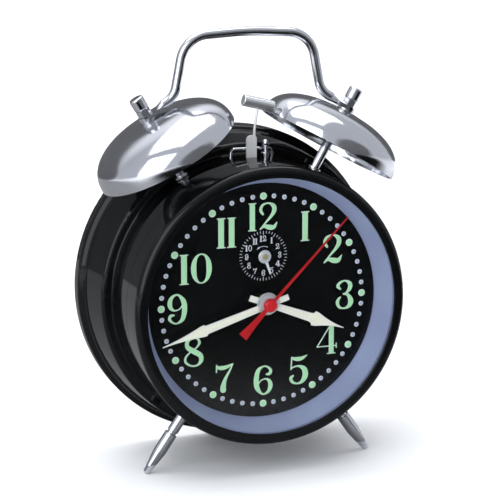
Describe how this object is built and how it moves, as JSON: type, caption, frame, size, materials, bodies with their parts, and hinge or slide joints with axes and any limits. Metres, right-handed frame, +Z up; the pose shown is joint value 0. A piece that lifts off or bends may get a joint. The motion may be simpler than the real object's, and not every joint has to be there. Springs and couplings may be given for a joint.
{
  "type": "twin bell alarm clock",
  "caption": "Key-wound alarm clock with a round enamelled case, paired domed bells, a swinging striker, a bent-wire carrying handle, splayed front feet and a full wheel train.",
  "frame": {"origin": "centre of the bounding box in plan, on the surface that the feet stand on", "axes": "+Z up, dial faces -Y, +X to the right seen from the front"},
  "size_m": [0.122, 0.066, 0.1643],
  "materials": {
    "black_enamel": "gloss",
    "black_cover": "satin",
    "mirror_chrome": "polished",
    "satin_nickel": "satin",
    "reflector": "polished",
    "glass": "clear",
    "dial_black": "gloss",
    "hand_ivory": "satin",
    "hand_red": "gloss",
    "hand_white": "satin",
    "rubber": "matte",
    "black_plastic": "gloss",
    "plated_steel": "satin",
    "brass": "satin",
    "blued_steel": "satin"
  },
  "bodies": {
    "case": {"back_plate": "brass", "bell_left": "mirror_chrome", "bell_post_left": "mirror_chrome", "bell_post_right": "mirror_chrome", "bell_right": "mirror_chrome", "bell_washers": "mirror_chrome", "bezel": "black_enamel", "cap_nuts": "mirror_chrome", "case_drum": "black_enamel", "cover_screws": "plated_steel", "crystal": "glass", "dial_plate": "dial_black", "foot_left": "mirror_chrome", "foot_nuts": "plated_steel", "foot_right": "mirror_chrome", "front_plate": "brass", "hairspring": "blued_steel", "handle": "mirror_chrome", "pillar_nuts": "plated_steel", "plate_pillars": "brass", "post_nuts": "plated_steel", "rear_cover": "black_cover", "rear_foot": "rubber", "reflector_ring": "reflector", "strap_nuts": "mirror_chrome", "striker_rail": "mirror_chrome", "striker_stop": "mirror_chrome"},
    "seconds": {"fourth_wheel": "brass", "seconds_hand": "hand_red"},
    "third": {"third_wheel": "brass"},
    "minute": {"centre_wheel": "brass", "cannon_pinion": "brass", "minute_hand": "hand_ivory"},
    "minute_work": {"minute_wheel": "brass"},
    "hour": {"hour_wheel": "brass", "hour_hand": "hand_ivory"},
    "time_barrel": {"time_great_wheel": "brass", "time_mainspring": "blued_steel"},
    "time_winding": {"time_winding_arbor": "plated_steel", "time_key": "plated_steel"},
    "time_pawl": {"time_click": "plated_steel"},
    "escape": {"escape_wheel": "brass"},
    "pallets": {"pallet_lever": "plated_steel"},
    "balance": {"balance_wheel": "brass"},
    "regulator": {"regulator_lever": "plated_steel"},
    "hand_setting": {"set_arbor": "plated_steel", "set_knob": "black_plastic"},
    "alarm_disc": {"alarm_wheel": "brass"},
    "alarm_setting": {"alarm_arbor": "plated_steel", "alarm_hand": "hand_white", "alarm_knob": "black_plastic"},
    "alarm_barrel": {"alarm_great_wheel": "brass", "alarm_mainspring": "blued_steel"},
    "alarm_winding": {"alarm_winding_arbor": "plated_steel", "alarm_key": "plated_steel"},
    "alarm_pawl": {"alarm_click": "plated_steel"},
    "alarm_escape": {"alarm_escape_wheel": "brass"},
    "striker": {"hammer_arm": "satin_nickel", "hammer_head": "mirror_chrome"},
    "stop_button": {"alarm_stop_button": "black_plastic"}
  },
  "joints": [
    {"name": "seconds_turn", "type": "hinge", "parent": "case", "child": "seconds", "pos_m": [0, -0.021, 0.06404], "axis": [0, 1, 0], "continuous": true},
    {"name": "third_turn", "type": "hinge", "parent": "case", "child": "third", "pos_m": [-0.00826, -0.021, 0.05225], "axis": [0, 1, 0], "continuous": true},
    {"name": "minute_turn", "type": "hinge", "parent": "case", "child": "minute", "pos_m": [0, -0.021, 0.06404], "axis": [0, 1, 0], "continuous": true},
    {"name": "minute_work_turn", "type": "hinge", "parent": "case", "child": "minute_work", "pos_m": [-0.00981, -0.021, 0.06586], "axis": [0, 1, 0], "continuous": true},
    {"name": "hour_turn", "type": "hinge", "parent": "case", "child": "hour", "pos_m": [0, -0.021, 0.06404], "axis": [0, 1, 0], "continuous": true},
    {"name": "time_barrel_turn", "type": "hinge", "parent": "case", "child": "time_barrel", "pos_m": [0.0172, -0.021, 0.052], "axis": [0, 1, 0], "continuous": true},
    {"name": "escape_turn", "type": "hinge", "parent": "case", "child": "escape", "pos_m": [0.00495, -0.021, 0.07262], "axis": [0, 1, 0], "continuous": true},
    {"name": "hand_setting_turn", "type": "hinge", "parent": "case", "child": "hand_setting", "pos_m": [-0.01851, -0.021, 0.06307], "axis": [0, 1, 0], "continuous": true},
    {"name": "alarm_disc_turn", "type": "hinge", "parent": "case", "child": "alarm_disc", "pos_m": [0, -0.021, 0.08114], "axis": [0, 1, 0], "continuous": true},
    {"name": "alarm_barrel_turn", "type": "hinge", "parent": "case", "child": "alarm_barrel", "pos_m": [-0.026, -0.021, 0.08004], "axis": [0, 1, 0], "continuous": true},
    {"name": "alarm_escape_turn", "type": "hinge", "parent": "case", "child": "alarm_escape", "pos_m": [-0.01289, -0.021, 0.08922], "axis": [0, 1, 0], "continuous": true},
    {"name": "time_key_turn", "type": "hinge", "parent": "time_barrel", "child": "time_winding", "pos_m": [0.0172, -0.021, 0.052], "axis": [0, 1, 0], "range_deg": [0, 2160]},
    {"name": "alarm_key_turn", "type": "hinge", "parent": "alarm_barrel", "child": "alarm_winding", "pos_m": [-0.026, -0.021, 0.08004], "axis": [0, 1, 0], "range_deg": [0, 1440]},
    {"name": "alarm_set_turn", "type": "hinge", "parent": "case", "child": "alarm_setting", "pos_m": [0, -0.021, 0.08114], "axis": [0, 1, 0], "continuous": true},
    {"name": "time_click_lift", "type": "hinge", "parent": "time_barrel", "child": "time_pawl", "pos_m": [0.0172, -0.021, 0.043], "axis": [0, 1, 0], "range_deg": [0, 14], "stiffness_Nm_per_rad": 0.0002},
    {"name": "alarm_click_lift", "type": "hinge", "parent": "alarm_barrel", "child": "alarm_pawl", "pos_m": [-0.026, -0.021, 0.07104], "axis": [0, 1, 0], "range_deg": [0, 14], "stiffness_Nm_per_rad": 0.0002},
    {"name": "pallet_rock", "type": "hinge", "parent": "case", "child": "pallets", "pos_m": [0.01032, -0.021, 0.07799], "axis": [0, 1, 0], "range_deg": [-4, 4]},
    {"name": "balance_swing", "type": "hinge", "parent": "case", "child": "balance", "pos_m": [0.01952, -0.021, 0.08571], "axis": [0, 1, 0], "range_deg": [-200, 200], "stiffness_Nm_per_rad": 0.00001},
    {"name": "regulator_shift", "type": "hinge", "parent": "case", "child": "regulator", "pos_m": [0.01952, -0.021, 0.08571], "axis": [0, 1, 0], "range_deg": [-16, 16]},
    {"name": "striker_swing", "type": "hinge", "parent": "case", "child": "striker", "pos_m": [0, -0.021, 0.09754], "axis": [0, 1, 0], "range_deg": [-7.5, 1], "stiffness_Nm_per_rad": 0.002},
    {"name": "stop_button_slide", "type": "slide", "parent": "case", "child": "stop_button", "axis": [0, 1, 0], "range_m": [0, 0.003]}
  ],
  "couplings": [
    {"joint": "third_turn", "follows": "seconds_turn", "ratio": -0.13333},
    {"joint": "minute_turn", "follows": "seconds_turn", "ratio": 0.016667},
    {"joint": "minute_work_turn", "follows": "seconds_turn", "ratio": -0.0083333},
    {"joint": "hour_turn", "follows": "seconds_turn", "ratio": 0.0013889},
    {"joint": "time_barrel_turn", "follows": "seconds_turn", "ratio": -0.0027778},
    {"joint": "escape_turn", "follows": "seconds_turn", "ratio": -10},
    {"joint": "hand_setting_turn", "follows": "seconds_turn", "ratio": 0.022222},
    {"joint": "alarm_disc_turn", "follows": "seconds_turn", "ratio": -0.0013889},
    {"joint": "alarm_escape_turn", "follows": "alarm_barrel_turn", "ratio": -7}
  ]
}
